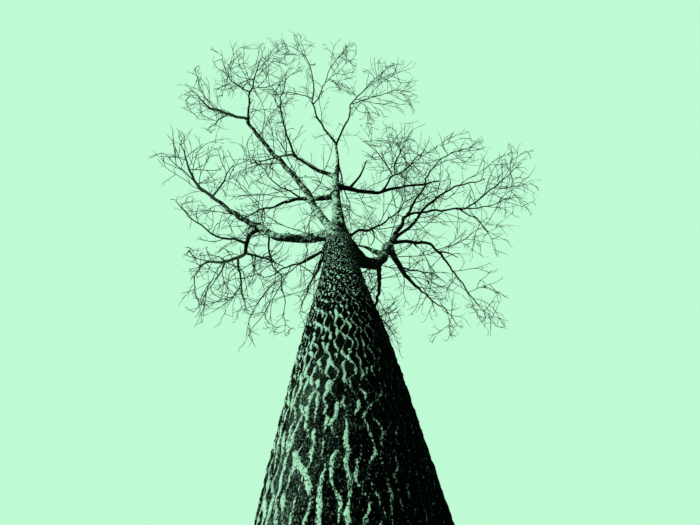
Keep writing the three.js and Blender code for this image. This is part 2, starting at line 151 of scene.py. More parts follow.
floor_material, shader = new_material("pale_floor", FLOOR_ROUGHNESS)
feed(shader, {"Base Color": FLOOR_COLOUR})
floor_corners = np.array([(-1, -1, 0), (1, -1, 0), (1, 1, 0), (-1, 1, 0)]) * FLOOR_HALF
floor = add_mesh("floor", floor_corners, [np.array([(0, 1, 2, 3)])], [floor_material])

world = bpy.data.worlds.new("pale_surround")
world.use_nodes = True
feed(world.node_tree.nodes["Background"], {"Color": SKY_COLOUR, "Strength": SKY_STRENGTH})
scene.world = world
scene.view_settings.view_transform = "Standard"

key_data = bpy.data.lights.new("soft_key", "SUN")
key_data.color = KEY_COLOUR
key_data.energy = KEY_STRENGTH
key_data.angle = radians(KEY_SOFTNESS)
key = bpy.data.objects.new("soft_key", key_data)
key.rotation_euler = Vector(KEY_WAY).to_track_quat("-Z", "Y").to_euler()
scene.collection.objects.link(key)

# Trunk
# One stem of solid wood that goes on as the leader, upright to the first fork and leaning above it. It stands
# on the flat cut at the ground, widened by its root flare. The old bark has pale strips between dark furrows,
# which part round long lozenges and mostly slant one way higher up. Above the first fork the bark is young.
TRUNK_LEGS = [(10.8, 265, 90), (3.4, 265, 83), (1.95, 268, 75), (1.2, 283, 66), (1.15, 265, 61)]
TRUNK_GIRTH = [
    (0, 0.392), (0.6, 0.366), (1.3, 0.352), (3.5, 0.344), (5.3, 0.317), (7.25, 0.256), (8.5, 0.234),
    (9.7, 0.242), (10.7, 0.206), (11.4, 0.164), (12.3, 0.138), (13.5, 0.115), (15.3, 0.094), (16.5, 0.082),
    (17.2, 0.05), (18.5, 0.036),
]
GIRTH_BLEND = 0.16
GIRTH_READINGS = 5
FLARE_WIDTH = 0.175
FLARE_FADE = 0.42
FLARE_RIDGES = 5
FLARE_UNEVEN = 0.8
CORNER_PASSES = 2
CORNER_CUT = 0.25
READ_STEP = 0.02
UPRIGHT = 0.001
HASH = (374761393, 668265263, 2147483647, 1274126177)

# The pale strips: how they wander, where they show, which way they slant and how wide they are
STRIPS = 55
STRIP_SEED = 7
LOZENGE = 0.36
SWAY = (0.05, 0.5)
SWAY_KNOT = 0.35
KNOT = 0.055
DRIFT = 0.22
KINK = 0.12
SHOWN = (-0.68, 0.95)
SHOWN_KNOT = 0.065
SHOWN_ON_LIT_SIDE = 1.2
SHOWN_HALFWAY = 0.52
STRIP_ENDS = (5.5, 15)
STRIP_RUNS_OUT = 1.5
SLANT_HIDES = 2.6
SLANT_MOST = 0.3
SLANT_FROM = (3.4, 5)
STRIP_HALF = 0.003
STRIP_ON_LIT_SIDE = 0.0068
STRIP_WIDTHS = [(0, 0.72), (3, 0.72), (3.8, 0.92), (5, 0.8), (6.2, 0.65), (8, 0.65)]
STRIP_UNEVEN = (0.5, 1.7)
# Which side of the trunk is painted as lit, by height; its strips are wider and paler and its plates greyer
# there: painted light
LIT_SIDES = [(0, 230), (4, 234), (6, 247), (9, 250)]
LIT_SIDE_FADE = (4, 8.5)
LIT_SIDE_LOSS = 0.25
LIT_SIDE_EDGE = 1.5

# Relief over the wood: the strips stand out, plates and cracks lie between them, and it all grows on lumps
STRIP_HEIGHT = 0.002
STRIP_SHOULDER = 0.005
FURROW_DEPTH = 0.009
PLATE_SHARE = 0.7
PLATE_SHOULDER = (0.008, 0.022)
FINE_HEIGHT = 0.006
CRACKS = (0.62, 0.8)
CRACK_DEPTH = 0.004
LUMP_HEIGHT = 0.016
YOUNG_HEIGHTS = (0.004, 0.0016)
FULL_RELIEF = 0.344
OLD_BARK = (9, 10.3)
OLD_BARK_RISE = 1.1
OLD_BARK_RAGGED = 0.8

# Size along X, Y and Z and seed of each grain in the relief
COARSE_GRAIN = ((0.05, 0.05, 0.08), 11)
FINE_GRAIN = ((0.022, 0.022, 0.03), 12)
CRACK_GRAIN = ((0.07, 0.07, 0.026), 13)
OLD_BARK_GRAIN = ((0.2, 0.2, 0.3), 14)
LUMP_GRAIN = ((0.5, 0.5, 0.9), 15)

# Scale, detail and roughness of each noise in the bark's colour, and how far old and young bark are drawn out
RAGGED = (105, 4, 0.8)
FLAKES = (42, 2, 0.65)
SPECKS = (170, 2, 0.7)
TONE = (7, 3, 0.6)
PATCHES = (12, 5, 0.75)
FLECKS = (50, 4, 0.85)
OLD_STRETCH = 0.4
YOUNG_STRETCH = 0.2

# How the noises fray, flake and hole the strips and wear the plates between them, and break up the painted
# light that makes the strips paler and the plates greyer on the lit side
FRAYED = (4, 2.4)
FRAYED_FLAKY = (0.7, 0.3)
FLAKE_LEVEL = 0.548
FLAKE_SHARE = 10
FLAKES_FROM = (4.3, 6.8)
STRIP_EDGE = (-0.1, 0.12)
HOLES = (0.37, 0.46)
HOLES_CLOSED = 0.1
LIT_PALE_UNEVEN = (1.1, 0.9)
LIT_PALE_EDGE = (0.1, 0.8)
WORN_LEVEL = 0.7
WORN_AND_LIT_SHARES = (0.15, 0.25)
WORN_EDGE = 0.05
LIT_GREY = (0.7, 1.4)
LIT_GREY_LEAST = 0.12
BLACK_PLATES = (4.6, 3.2)
STRIP_BUMP = 0.6
BARK_BUMPS = (0.6, 0.004)
EDGE_SCALE = 100
EDGE_LIMIT = 3

# Young bark has painted light, pale in patches on sides that face the light, and painted shade round the
# first fork
PAINTED_LIGHT_WAY = (-0.78, -0.54, 0.32)
PATCHES_SHARE = 6
FLECKS_SHARE = 5
SHADE_SHARE = -0.9
YOUNG_EDGE = (0.28, 1.08)
FORK_SHADE = 0.85
FORK_SHADE_ENDS = (10.8, 12.2)
FORK_SHADE_LIT_CUT = 0.6

# Colours of old bark, young bark and sawn wood; the lit and shaded copies of the strips, the plates and the
# young bark are painted light
STRIP_SHADED = (0.04, 0.052, 0.044, 1)
STRIP_LIT = (0.5, 0.64, 0.55, 1)
PLATE_BLACK = (0.001, 0.0014, 0.0012, 1)
PLATE_LIT_GREY = (0.035, 0.045, 0.039, 1)
PLATE_WORN_AND_LIT = (0.16, 0.2, 0.175, 1)
YOUNG_SHADED = (0.002, 0.003, 0.0025, 1)
YOUNG_LIT = (0.55, 0.7, 0.6, 1)
SAWN_DARK = (0.2, 0.23, 0.19, 1)
SAWN_LIGHT = (0.36, 0.4, 0.33, 1)
SAWN_RINGS = {"Scale": 22, "Distortion": 3, "Detail": 3}
TRUNK_ROUGHNESS = 0.9
SAWN_ROUGHNESS = 0.8
MATT = 0

# Rows and columns of the trunk's mesh, in three lengths from the ground up
TRUNK_LENGTHS = [
    ("trunk_foot", 0, 6, 0.0195, 288),
    ("trunk_shaft", 6, 11.5, 0.038, 288),
    ("trunk_leader", 11.5, 18.5, 0.045, 96),
]


def unit(vectors):
    return vectors / np.linalg.norm(vectors, axis=-1, keepdims=True)


def walk(start, legs):
    """Corner points from a start and legs, each with its length, its heading and how steeply it rises."""
    points = [np.asarray(start, float)]
    for length, *angles in legs:
        turn, slope = map(radians, angles)
        flat = cos(slope)
        way = np.array((flat * cos(turn), flat * sin(turn), sin(slope)))
        points.append(points[-1] + way * length)
    return np.array(points)


def path_through(points):
    """A path is a line of points, with the distance of each one from the start and its whole length."""
    reach = join([[0], np.cumsum(np.linalg.norm(np.diff(points, axis=0), axis=1))])
    return SimpleNamespace(points=points, reach=reach, length=reach[-1])


def make_path(points):
    """A path that rounds the corners of a line and keeps its two ends."""
    for _ in range(CORNER_PASSES):
        firsts, lasts = points[:-1], points[1:]
        near = firsts * (1 - CORNER_CUT) + lasts * CORNER_CUT
        far = firsts * CORNER_CUT + lasts * (1 - CORNER_CUT)
        cut = np.stack([near, far], axis=1).reshape(-1, 3)
        points = join([points[:1], cut[1:-1], points[-1:]])
    return path_through(points)


def point_on(path, distance):
    return np.stack([np.interp(distance, path.reach, line) for line in path.points.T], axis=-1)


def direction_on(path, distance):
    low = np.clip(np.asarray(distance) - READ_STEP, 0, path.length - READ_STEP)
    high = np.minimum(path.length, np.asarray(distance) + READ_STEP)
    return unit(point_on(path, high) - point_on(path, low))


def rings_along(path, marks, columns):
    """Centres of a limb's rings, and the ways out from them to each column, carried along without a twist."""
    along = direction_on(path, marks)
    across = np.cross((0, 0, 1), along[0])
    if np.linalg.norm(across) < UPRIGHT:
        across = np.array((1.0, 0, 0))
    firsts = []
    for way in along:
        across = unit(across - way * across.dot(way))
        firsts.append(across)
    firsts = np.array(firsts)
    thirds = np.cross(along, firsts)
    angles = 2 * pi * np.arange(columns) / columns
    outs = np.cos(angles)[:, None] * firsts[:, None] + np.sin(angles)[:, None] * thirds[:, None]
    return point_on(path, marks)[:, None], outs, angles


def grain(places, size, seed):
    """Smooth random numbers from 0 to 1 at places; size is that of their grains, or one for each axis."""
    cells = np.asarray(places, float) / np.asarray(size)
    corner = np.floor(cells).astype(np.int64)
    share = cells - corner
    share = share * share * (3 - 2 * share)
    total = np.zeros(cells.shape[:-1])
    for step in np.ndindex(2, 2, 2):
        mixed = ((corner + step) * HASH[:3]).sum(axis=-1) + seed * HASH[3]
        mixed = (mixed ^ (mixed >> 13)) & 0xFFFFFFFF
        mixed = (mixed * HASH[3]) & 0xFFFFFFFF
        weight = np.prod(np.where(step, share, 1 - share), axis=-1)
        total += weight * ((mixed ^ (mixed >> 16)) & 0xFFFF) / 0xFFFF
    return total


def smooth(low, high, value):
    share = np.clip((value - low) / (high - low), 0, 1)
    return share * share * (3 - 2 * share)


def girth_at(distance):
    """Half the thickness of the trunk, with its changes of taper blended."""
    stops = np.array(TRUNK_GIRTH).T
    steps = np.linspace(-GIRTH_BLEND, GIRTH_BLEND, GIRTH_READINGS)
    return np.mean([np.interp(distance + step, *stops) for step in steps], axis=0)


def lit_side_share(marks, angles):
    """Painted light: how far each side of the trunk is painted as lit, from 0 to 1."""
    side = np.radians(np.interp(marks, *np.array(LIT_SIDES).T))
    left = 1 - LIT_SIDE_LOSS * smooth(*LIT_SIDE_FADE, marks)
    return left[:, None] * np.clip(np.cos(angles[None] - side[:, None]), 0, 1) ** LIT_SIDE_EDGE


def strip_pattern(marks, angles):
    """How far places lie inside a pale strip, negative outside it, in metres, and how strong the strip is."""
    draw = np.random.default_rng(STRIP_SEED)
    width_draw = np.random.default_rng(STRIP_SEED + 1)
    top = trunk_path.length + 1
    knots, sway_knots, shown_knots = (np.arange(-1, top, gap) for gap in (KNOT, SWAY_KNOT, SHOWN_KNOT))
    girth = girth_at(marks)
    lit_side = lit_side_share(marks, angles)
    widths = np.interp(marks, *np.array(STRIP_WIDTHS).T)
    inside = np.full((len(marks), len(angles)), -1.0)
    strength = np.zeros_like(inside)
    for number in range(STRIPS):
        drift = np.interp(marks, knots, np.cumsum(draw.normal(0, DRIFT, len(knots))))
        kink = np.interp(marks, knots, draw.normal(0, KINK, len(knots)))
        shown = np.interp(marks, shown_knots, draw.uniform(*SHOWN, len(shown_knots)))
        last = draw.uniform(*STRIP_ENDS)
        shown -= smooth(last, last + STRIP_RUNS_OUT, marks)
        sway = np.interp(marks, sway_knots, draw.uniform(*SWAY, len(sway_knots)))
        swing = sway * np.sin(2 * pi * marks / LOZENGE + pi * number + drift)
        centre = 2 * pi / STRIPS * (number + swing + kink)
        slope = np.gradient(centre, marks) * girth
        shown -= SLANT_HIDES * np.clip(slope, -SLANT_MOST, SLANT_MOST) * smooth(*SLANT_FROM, marks)
        off = (angles[None] - centre[:, None] + pi) % (2 * pi) - pi
        away = np.abs(off) * girth[:, None] / np.sqrt(1 + slope ** 2)[:, None]
        # Painted light: strips show more and grow wider on the lit side, which makes that side paler
        shown = np.clip(shown[:, None] + SHOWN_ON_LIT_SIDE * (lit_side - SHOWN_HALFWAY), 0, 1)
        uneven = np.interp(marks, shown_knots, width_draw.uniform(*STRIP_UNEVEN, len(shown_knots)))
        width = (STRIP_HALF + STRIP_ON_LIT_SIDE * lit_side ** 2) * np.sqrt(shown) * (widths * uneven)[:, None]
        better = width - away > inside
        inside = np.where(better, width - away, inside)
        strength = np.where(better, np.sqrt(shown), strength)
    return inside, strength


def trunk_relief(marks, angles, places):
    """Height of the bark over the wood, the strips that its colour follows, and its age from 0 to 1."""
    inside, strength = strip_pattern(marks, angles)
    coarse = grain(places, *COARSE_GRAIN)
    fine = grain(places, *FINE_GRAIN)
    crack = smooth(*CRACKS, grain(places, *CRACK_GRAIN))
    # Painted shade: old, dark bark reaches higher on the side away from the light
    higher = OLD_BARK_RISE * (1 - lit_side_share(marks, angles))
    higher += OLD_BARK_RAGGED * (grain(places, *OLD_BARK_GRAIN) - 0.5)
    age = 1 - smooth(*OLD_BARK, marks[:, None] - higher)
    outside = np.maximum(0, -inside)
    strip = strength * np.exp(-((outside / STRIP_SHOULDER) ** 2))
    plate = PLATE_SHARE * smooth(*PLATE_SHOULDER, outside) * (0.5 + coarse)
    furrow = FURROW_DEPTH * (plate - 1) - CRACK_DEPTH * crack + FINE_HEIGHT * (fine - 0.5)
    scale = girth_at(marks)[:, None] / FULL_RELIEF
    old = (strip * STRIP_HEIGHT + (1 - strip) * furrow) * np.sqrt(scale)
    young = YOUNG_HEIGHTS[0] * (coarse - 0.5) + YOUNG_HEIGHTS[1] * (fine - 0.5)
    lumps = LUMP_HEIGHT * (grain(places, *LUMP_GRAIN) - 0.5) * np.minimum(1, scale)
    return age * old + (1 - age) * young + lumps, inside, age


def trunk_radius(marks, angles):
    """Half thickness of the trunk with the ridges of its root flare."""
    ridge = 0.5 + 0.5 * np.cos(FLARE_RIDGES * angles + FLARE_UNEVEN * np.sin(angles))
    return girth_at(marks)[:, None] + FLARE_WIDTH * ridge * np.exp(-marks / FLARE_FADE)[:, None]


def outward(points):
    """Outward directions of a grid of points whose columns go round."""
    down = np.gradient(points, axis=0)
    round_it = np.roll(points, -1, axis=1) - np.roll(points, 1, axis=1)
    return unit(np.cross(round_it, down))


def tube_faces(rows, columns):
    """Numbers of the points of a tube and of those beside them, and the faces between its rings."""
    index = np.arange(rows * columns).reshape(rows, columns)
    beside = np.roll(index, -1, axis=1)
    return index, beside, np.stack([index[:-1], beside[:-1], beside[1:], index[1:]], axis=-1).reshape(-1, 4)


def add_tube(name, points, ends, materials, values, normals=None):
    """A closed tube over a grid of points; ends are the hubs of its caps, which take the last material."""
    rows, columns = points.shape[:2]
    index, beside, sides = tube_faces(rows, columns)
    hub = np.full(columns, rows * columns)
    caps = join([
        np.stack([hub, beside[0], index[0]], axis=-1),
        np.stack([hub + 1, index[-1], beside[-1]], axis=-1),
    ])
    cloud = join([points.reshape(-1, 3), ends])
    made = add_mesh(name, cloud, [sides, caps], materials, [0, len(materials) - 1])
    if normals is not None:
        fronts = join([normals.reshape(-1, 3), unit(ends - ends[::-1])])
        made.data.normals_split_custom_set_from_vertices(fronts)
    for value, numbers in values.items():
        attribute = made.data.attributes.new(value, "FLOAT", "POINT")
        numbers = join([np.asarray(numbers).reshape(-1), [0, 0]])
        attribute.data.foreach_set("value", numbers.astype(np.float32))
    return made


def places_on(shader, stretch=1):
    """Where a point lies on the piece, with its height drawn together so that a pattern gets longer."""
    coords = add_node(shader, "TexCoord", {}).outputs["Object"]
    if stretch == 1:
        return coords
    return add_node(coords, "Mapping", {"Vector": coords, "Scale": (1, 1, stretch)}).outputs["Vector"]


def noise(place, scale, detail, roughness):
    inputs = {"Vector": place, "Scale": scale, "Detail": detail, "Roughness": roughness}
    return add_node(place, "TexNoise", inputs).outputs["Fac"]


def rise(value, low, high):
    """From 0 at low to 1 at high, with soft ends."""
    inputs = {"Value": value, "From Min": low, "From Max": high}
    return add_node(value, "MapRange", inputs, interpolation_type="SMOOTHSTEP").outputs["Result"]


def times(first, second):
    return add_node(first, "Math", {0: first, 1: second}, operation="MULTIPLY").outputs[0]


def plus(first, second, share=1.0):
    """The first value and a share of the second one."""
    inputs = {0: second, 1: share, 2: first}
    return add_node(second, "Math", inputs, operation="MULTIPLY_ADD").outputs[0]


def varied(value, spread, share):
    """A value, moved up and down by a share of a noise."""
    return plus(value, plus(-0.5, spread), share)


def blend_of(share, first, second):
    inputs = {"Factor": share, "A": first, "B": second}
    return add_node(share, "Mix", inputs, data_type="RGBA").outputs["Result"]


def value_of(shader, name):
    """A number that the mesh holds at each point."""
    return add_node(shader, "Attribute", {}, attribute_name=name).outputs["Fac"]


def bumps_of(height, strength, distance):
    inputs = {"Height": height, "Strength": strength, "Distance": distance}
    return add_node(height, "Bump", inputs).outputs["Normal"]


def young_bark(shader, place):
    """Colour and height of smooth bark: painted light in pale patches on sides facing the light, nearly black
    elsewhere.
    """
    patches = noise(place, *PATCHES)
    flecks = noise(place, *FLECKS)
    normal = add_node(shader, "NewGeometry", {}).outputs["Normal"]
    # Painted light: bark that faces this way is paler
    facing = add_node(normal, "VectorMath", {0: normal, 1: PAINTED_LIGHT_WAY}, operation="DOT_PRODUCT")
    light = varied(facing.outputs["Value"], patches, PATCHES_SHARE)
    light = varied(light, flecks, FLECKS_SHARE)
    light = plus(light, value_of(shader, "shade"), SHADE_SHARE)
    return blend_of(rise(light, *YOUNG_EDGE), YOUNG_SHADED, YOUNG_LIT), flecks


def trunk_bark():
    """Old bark with pale strips over dark plates, painted lighter on the lit side, going into young bark
    where age runs out.
    """
    material, shader = new_material("trunk_bark", TRUNK_ROUGHNESS, MATT)
    place = places_on(shader, OLD_STRETCH)
    ragged, flakes, specks, tone = (noise(place, *kind) for kind in (RAGGED, FLAKES, SPECKS, TONE))
    lit_side = value_of(shader, "lit_side")
    height = add_node(shader, "SeparateXYZ", {"Vector": places_on(shader)}).outputs["Z"]
    flaky = rise(height, *FLAKES_FROM)
    foot_only = rise(height, *BLACK_PLATES)
    coarse = varied(varied(0, ragged, FRAYED[0]), specks, FRAYED[1])
    spread = plus(FRAYED_FLAKY[0], flaky, FRAYED_FLAKY[1])
    edge = plus(value_of(shader, "inside"), times(coarse, spread))
    edge = plus(edge, times(plus(-FLAKE_LEVEL, flakes), flaky), FLAKE_SHARE)
    whole = rise(plus(specks, flaky, HOLES_CLOSED), *HOLES)
    strip = times(rise(edge, *STRIP_EDGE), whole)
    # Painted light: strips paler, plates greyer and worn specks more on the lit side; the specks are partly
    # real wear
    lit_paleness = varied(varied(lit_side, tone, LIT_PALE_UNEVEN[0]), specks, LIT_PALE_UNEVEN[1])
    pale = blend_of(rise(lit_paleness, *LIT_PALE_EDGE), STRIP_SHADED, STRIP_LIT)
    worn_and_lit = plus(plus(-WORN_LEVEL, specks), times(lit_side, lit_side), WORN_AND_LIT_SHARES[0])
    worn_and_lit = times(rise(varied(worn_and_lit, tone, WORN_AND_LIT_SHARES[1]), 0, WORN_EDGE), foot_only)
    lit_grey = plus(LIT_GREY_LEAST, foot_only, 1 - LIT_GREY_LEAST)
    lit_grey = times(rise(lit_paleness, *LIT_GREY), lit_grey)
    dark = blend_of(worn_and_lit, blend_of(lit_grey, PLATE_BLACK, PLATE_LIT_GREY), PLATE_WORN_AND_LIT)
    young, fine = young_bark(shader, places_on(shader, YOUNG_STRETCH))
    age = value_of(shader, "age")
    colour = blend_of(age, young, blend_of(strip, dark, pale))
    inputs = {"Factor": age, "A": fine, "B": plus(ragged, strip, STRIP_BUMP)}
    bumps = add_node(shader, "Mix", inputs, data_type="FLOAT").outputs["Result"]
    feed(shader, {"Base Color": colour, "Normal": bumps_of(bumps, *BARK_BUMPS)})
    return material


def cut_wood():
    """Sawn wood across the grain, with its year rings round the middle."""
    material, shader = new_material("cut_wood", SAWN_ROUGHNESS, MATT)
    inputs = {"Vector": places_on(shader), **SAWN_RINGS}
    rings = add_node(shader, "TexWave", inputs, wave_type="RINGS", rings_direction="Z")
    feed(shader, {"Base Color": blend_of(rings.outputs["Fac"], SAWN_DARK, SAWN_LIGHT)})
    return material


trunk_path = make_path(walk((0, 0, 0), TRUNK_LEGS))
trunk_materials = [trunk_bark(), cut_wood()]
for name, low, high, step, columns in TRUNK_LENGTHS:
    high = min(high, trunk_path.length)
    steps = round((high - low) / step)
    before = 0 if low == 0 else 1
    marks = low + (high - low) * np.arange(-before, steps + 2) / steps
    kept = slice(before, -1)
    centres, outs, angles = rings_along(trunk_path, marks, columns)
    radii = trunk_radius(marks, angles)
    relief, inside, age = trunk_relief(marks, angles, centres + outs * radii[..., None])
    surface = centres + outs * (radii + relief)[..., None]
    fronts = outward(surface)[kept]
    surface = surface[kept]
    lit_side = lit_side_share(marks[kept], angles)
    # Painted shade round the first fork, with less of it on the lit side
    shade = FORK_SHADE * (1 - smooth(*FORK_SHADE_ENDS, marks[kept]))[:, None]
    values = {
        "inside": np.clip(inside[kept] * EDGE_SCALE, -EDGE_LIMIT, EDGE_LIMIT),
        "age": age[kept],
        "lit_side": lit_side,
        "shade": shade * (1 - FORK_SHADE_LIT_CUT * lit_side),
    }
    ends = point_on(trunk_path, marks[kept][[0, -1]])
    piece = add_tube(name, surface, ends, trunk_materials, values, fronts)
    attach(piece, "root")
    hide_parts("trunk")

# Boughs of the left side
# Each bough is one tapering limb of solid wood that grows out of the trunk, or out of another bough, with a
# collar round its foot. Its bark is young, with painted light: pale grey-green in patches to the left and
# front, where it faces the light, and nearly black to the right and below.
COLLAR_SHARE = 0.28
COLLAR_FADE = 0.9
FOOT_SWELL = 0.32
FOOT_FADE = 0.3
GAP = 0.0003
STRAIGHT_ON = 0.08
LIMB_RING = 0.42
LEAST_RINGS = 2
BOUGH_STEP = 0.034
BOUGH_COLUMN = 0.019
BOUGH_COLUMNS = (10, 26)
BOUGH_LUMP = 0.18
BOUGH_LUMP_GRAIN = (0.16, 0.16, 0.2)
BOUGH_ROUGH = 0.09
BOUGH_ROUGH_GRAIN = (0.04, 0.04, 0.05)
BOUGH_SEED = 20
BOUGH_SEED_STEP = 5
BOUGH_ROUGHNESS = 0.85
BOUGH_BUMPS = (0.8, 0.004)
LEAST_STEPS = 4
CROOKS = [(0.5, 0.046, 61), (0.21, 0.02, 71)]
CROOK_STEP = 0.05
CROOK_FADE = (0.15, 1.1)
THIN_WOOD_SHADE = (0.02, 0.08)
SPLINTER = 0.05
SPLINTER_THICK = 0.024
TRUNK_RINGS = 34


def taper(thick, length, collar=None):
    """Half thickness of a limb by distance, with a collar that fades from a place near its foot."""
    def radius_at(distance):
        share = np.minimum(1, np.asarray(distance, float) / length)
        radius = (thick[0] + (thick[1] - thick[0]) * share) / 2
        if collar is None:
            return radius
        outside = np.maximum(0, distance - collar)
        return radius * (1 + COLLAR_SHARE * np.exp(-outside / (COLLAR_FADE * thick[0])))
    return radius_at


def make_limb(path, thick, collar=None):
    """A limb with the line that it follows once it winds, and how many straight pieces stand for it."""
    return SimpleNamespace(
        path=path,
        line=crooked_line(path),
        rings=max(LEAST_RINGS, round(path.length / LIMB_RING)),
        radius_at=taper(thick, path.length, collar),
        collar=collar,
        thick=thick,
        spur=None,
    )


def grow_limb(parent, at, thick, legs):
    """A limb on a parent's side, or face to face with its tip where at is None."""
    path = parent.path
    if at is not None:
        return make_limb(make_path(walk(point_on(path, at), legs)), thick, float(parent.radius_at(at)))
    onward = direction_on(path, path.length)
    start = point_on(path, path.length) + onward * GAP
    corners = np.insert(walk(start, legs), 1, start + onward * STRAIGHT_ON, axis=0)
    return make_limb(make_path(corners), thick)


def bough_bark():
    """Young bark all over, with fine bumps."""
    material, shader = new_material("bough_bark", BOUGH_ROUGHNESS, MATT)
    colour, fine = young_bark(shader, places_on(shader))
    feed(shader, {"Base Color": colour, "Normal": bumps_of(fine, *BOUGH_BUMPS)})
    return material


def pieces_of(parts, winding=False):
    """Straight pieces of some limbs: their two ends and half their thickness."""
    starts, ends, radii = [], [], []
    for limb in parts:
        path = limb.line if winding else limb.path
        shares = np.linspace(0, 1, limb.rings + 1)
        points = point_on(path, shares * path.length)
        starts.append(points[:-1])
        ends.append(points[1:])
        radii.append(limb.radius_at(shares[:-1] * limb.path.length))
    return join(starts), join(ends), join(radii)


def from_pieces(points, starts, ends, radii=0):
    """Distance from each point to the nearest straight piece, or to the wood round it."""
    way = ends - starts
    share = ((points[:, None] - starts) * way).sum(axis=-1) / (way ** 2).sum(axis=-1)
    aside = points[:, None] - starts - np.clip(share, 0, 1)[..., None] * way
    return (np.linalg.norm(aside, axis=-1) - radii).min(axis=1)


def crooked_line(path, step=CROOK_STEP, least=LEAST_STEPS):
    """A path once it winds a little, as grown wood does; close to the trunk it stays."""
    steps = max(least, round(path.length / step))
    points = point_on(path, np.linspace(0, path.length, steps + 1))
    fade = smooth(*CROOK_FADE, from_pieces(points, *trunk_pieces[:2]))
    moved = np.zeros_like(points)
    for size, reach, seed in CROOKS:
        aside = np.stack([grain(points, size, seed + axis) for axis in range(3)], axis=-1)
        moved += 2 * reach * (aside - 0.5)
    return path_through(points + moved * fade[:, None])


def limb_surface(limb, seed, splintered):
    """Grid of points of a limb with lumps and rough bark, its ends, and the painted shade that darkens its
    thin wood.
    """
    path = limb.line
    steps = max(LEAST_STEPS, round(path.length / BOUGH_STEP))
    shares = np.linspace(0, 1, steps + 1)
    marks = shares * limb.path.length
    columns = int(np.clip(round(pi * limb.thick[0] / BOUGH_COLUMN), *BOUGH_COLUMNS))
    centres, outs, angles = rings_along(path, shares * path.length, columns)
    radii = limb.radius_at(marks)
    if limb.collar is not None:
        outside = np.maximum(0, marks - limb.collar)
        radii = radii * (1 + FOOT_SWELL * np.exp(-outside / (FOOT_FADE * limb.thick[0])))
    places = centres + outs * radii[:, None, None]
    lumps = grain(places, BOUGH_LUMP_GRAIN, seed) - 0.5
    rough = grain(places, BOUGH_ROUGH_GRAIN, seed + 1) - 0.5
    grown = radii[:, None] * (1 + BOUGH_LUMP * lumps + BOUGH_ROUGH * rough)
    points = centres + outs * grown[..., None]
    ends = point_on(path, [0, path.length])
    if splintered:
        draw = np.random.default_rng(seed)
        along = direction_on(path, path.length)
        longer = draw.uniform(0, SPLINTER, columns)[:, None]
        points[-1] += along * longer * (limb.thick[1] / SPLINTER_THICK)
        ends[1] += along * SPLINTER / 2 - along * limb.thick[1]
    # Painted shade: thin wood is darker
    shade = np.broadcast_to(1 - smooth(*THIN_WOOD_SHADE, radii)[:, None], grown.shape)
    return points, ends, shade


def grow_bough(name, on, at, thick, legs, spur=None, splintered=False):
    """One bough on another limb, in bark in place of its solid; a spur is a place, a thickness and legs."""
    limb = grow_limb(limbs[on], at, thick, legs)
    limbs[name] = limb
    pieces = [(name, limb, splintered)]
    if spur:
        limb.spur = grow_limb(limb, *spur)
        pieces.append((name + "_spur", limb.spur, True))
    for piece_name, part, broken in pieces:
        points, ends, shade = limb_surface(part, BOUGH_SEED + BOUGH_SEED_STEP * len(limbs), broken)
        piece = add_tube(piece_name + "_bark", points, ends, [bough_material], {"shade": shade})
        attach(piece, "root")
        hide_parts(name)


bough_material = bough_bark()
limbs = {"trunk": SimpleNamespace(
    path=trunk_path, line=trunk_path, rings=TRUNK_RINGS, radius_at=girth_at, spur=None,
)}
trunk_pieces = pieces_of(limbs.values())
grow_bough(
    "dead_stub_left", "trunk", 10.6, (0.062, 0.014), [(0.25, 150, 5), (0.85, 145, 45), (1.05, 155, 40)],
    splintered=True,
)
grow_bough(
    "bough_left", "trunk", 11.05, (0.178, 0.076),
    [(0.2, 195, 40), (0.55, 163, 30), (0.5, 185, 20), (0.95, 195, 55), (1.7, 205, 50)],
)
grow_bough("bough_left_fork", "bough_left", 2.12, (0.107, 0.074), [(0.45, 140, 45), (0.55, 115, 45)])
grow_bough("bough_left_side", "bough_left_fork", 0.7, (0.056, 0.042), [(0.55, 195, 50), (0.9, 180, 50)])
grow_bough("bough_left_under", "bough_left", 1.7, (0.042, 0.028), [(1, 105, 55), (1.05, 80, 60)])
grow_bough(
    "bough_upper_left", "trunk", 11.6, (0.146, 0.08),
    [(0.15, 190, 0), (0.95, 230, 60), (0.65, 240, 65), (2.2, 225, 55), (2.1, 230, 55)],
)
grow_bough(
    "bough_upper_left_end", "bough_upper_left", 5.85, (0.06, 0.046),
    [(0.25, 265, 35), (1.35, 265, 57)],
)
grow_bough("bough_cross", "trunk", 15, (0.13, 0.058), [(0.35, 165, 0), (1.05, 180, 42), (0.65, 155, 40)])
grow_bough("bough_cross_up", "bough_cross", 1, (0.048, 0.034), [(1.2, 210, 50)])

# Boughs of the top
# The upper boughs leave the leader, and the leader itself forks into two last ones. They are of younger wood
# and slimmer, and the one to the right has kept a short spur.
grow_bough(
    "bough_upper_right", "trunk", 15.7, (0.124, 0.036), [(1.2, 15, 30), (0.8, 350, 35), (1.45, 355, 30)],
    spur=(0.42, (0.076, 0.030), [(0.85, 315, 55), (0.7, 300, 55)]),
)
grow_bough("bough_top_right", "bough_upper_right", 1.5, (0.06, 0.05), [(0.9, 310, 55)])
grow_bough("bough_top_left", "trunk", 16.4, (0.116, 0.058), [(0.7, 200, 35), (1.05, 215, 45)])
grow_bough(
    "bough_top_left_end", "bough_top_left", 1.65, (0.066, 0.034),
    [(0.25, 245, 40), (1.2, 245, 52), (1.6, 262, 50)],
)
grow_bough("leader_left", "trunk", None, (0.07, 0.044), [(1.3, 235, 45), (0.85, 260, 45)])
grow_bough("leader_left_mid", "leader_left", 2.05, (0.04, 0.03), [(0.2, 320, 40), (0.95, 290, 46)])
grow_bough("leader_right", "trunk", 18.4, (0.062, 0.04), [(1.35, 297, 46), (0.55, 285, 42)])

